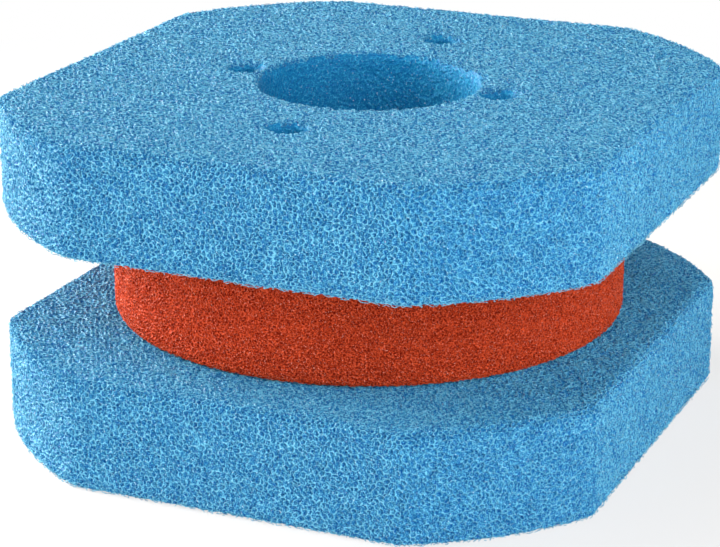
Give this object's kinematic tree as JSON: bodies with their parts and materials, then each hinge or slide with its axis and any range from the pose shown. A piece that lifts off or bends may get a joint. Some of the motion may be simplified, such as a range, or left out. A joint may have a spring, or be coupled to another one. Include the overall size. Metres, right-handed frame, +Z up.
{
  "type": "sponge filter",
  "caption": "Pond filter sponge stack: coarse foam slabs with arc-cut corners above and below a finer round foam disc, all bored for a centre tube and clamping rods.",
  "frame": {"origin": "on the axis of the tube bore, at the underside of the lower sponge", "axes": "+Z up along the tube bore; +X to the side across the slabs' shorter way; +Y along their longer way"},
  "size_m": [0.276, 0.29, 0.152],
  "materials": {
    "coarse_foam": "matte",
    "fine_foam": "matte"
  },
  "bodies": {
    "lower_sponge": {"lower_coarse_sponge": "coarse_foam"},
    "disc": {"fine_sponge_disc": "fine_foam"},
    "upper_sponge": {"upper_coarse_sponge": "coarse_foam"}
  },
  "joints": [
    {"name": "disc_lift", "type": "slide", "parent": "lower_sponge", "child": "disc", "axis": [0, 0, 1], "range_m": [0, 0.11]},
    {"name": "upper_lift", "type": "slide", "parent": "disc", "child": "upper_sponge", "axis": [0, 0, 1], "range_m": [0, 0.11]}
  ]
}
